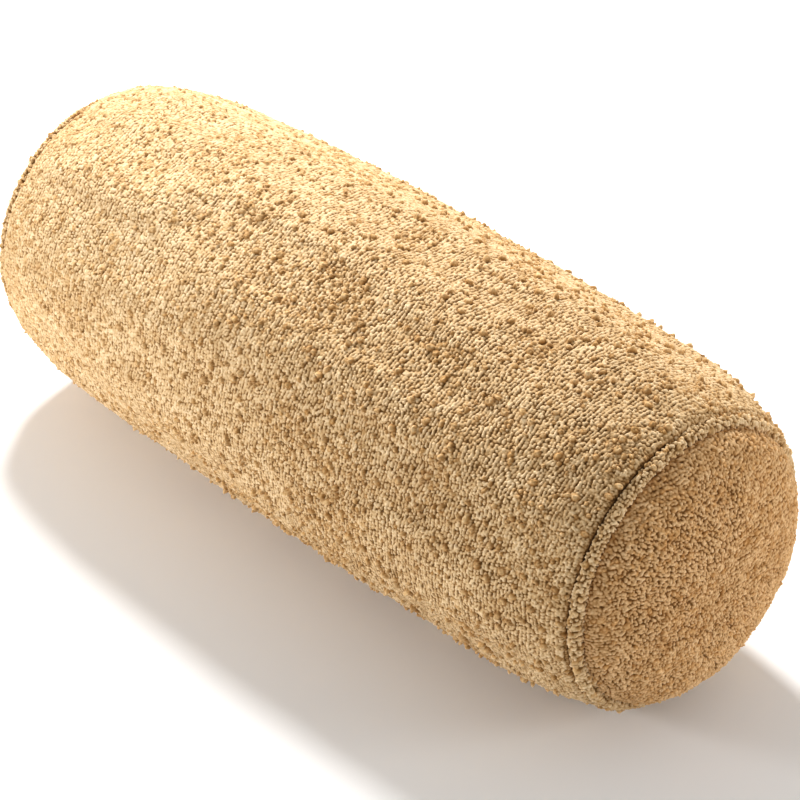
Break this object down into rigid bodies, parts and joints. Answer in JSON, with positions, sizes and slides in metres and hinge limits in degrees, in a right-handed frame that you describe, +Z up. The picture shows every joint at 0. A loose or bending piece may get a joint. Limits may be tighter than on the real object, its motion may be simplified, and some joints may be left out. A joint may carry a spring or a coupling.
{
  "type": "bolster pillow",
  "caption": "Soft round bolster pillow in a boucle knit cover with piped end panels, a back zip and a stuffed insert.",
  "frame": {"origin": "middle of the footprint, on the floor", "axes": "+X along the bolster, towards the end that faces the viewer; +Z up; the zip is on the +Y side"},
  "size_m": [0.449, 0.1753, 0.173],
  "materials": {
    "knit": "wheat-coloured boucle knit",
    "cord": "soft cotton filler cord",
    "thread": "matching polyester sewing thread",
    "zip_tape": "woven polyester zip tape",
    "zip_coil": "nylon coil",
    "zip_metal": "satin antique brass plating",
    "label": "blank woven satin label",
    "casing": "white woven cotton",
    "fibre": "loose polyester fibre"
  },
  "bodies": {
    "cover": {"cover_barrel": "knit", "cover_end_near": "knit", "cover_end_far": "knit", "welt_strip_near": "knit", "welt_strip_far": "knit", "welt_cord_near": "cord", "welt_cord_far": "cord", "end_seam_thread_near": "thread", "end_seam_thread_far": "thread", "closing_seam_thread_near": "thread", "closing_seam_thread_far": "thread", "zip_tape_upper": "zip_tape", "zip_tape_lower": "zip_tape", "zip_coil_upper": "zip_coil", "zip_coil_lower": "zip_coil", "zip_stitching_upper": "thread", "zip_stitching_lower": "thread", "zip_top_stops": "zip_metal", "zip_bottom_stop": "zip_metal", "zip_bartacks": "thread", "care_label": "label", "insert_casing_barrel": "casing", "insert_casing_end_near": "casing", "insert_casing_end_far": "casing", "insert_seam_thread_near": "thread", "insert_seam_thread_far": "thread", "insert_closing_stitch": "thread", "fibre_filling": "fibre"},
    "slider": {"zip_slider": "zip_metal"},
    "pull": {"zip_pull": "zip_metal"}
  },
  "joints": [
    {"name": "zipper_slide", "type": "slide", "parent": "cover", "child": "slider", "axis": [-1, 0, 0], "range_m": [0, 0.279]},
    {"name": "pull_swing", "type": "hinge", "parent": "slider", "child": "pull", "pos_m": [0.1395, 0.08397, 0.0958], "axis": [0, 0.1392, -0.9903], "range_deg": [0, 172]}
  ]
}
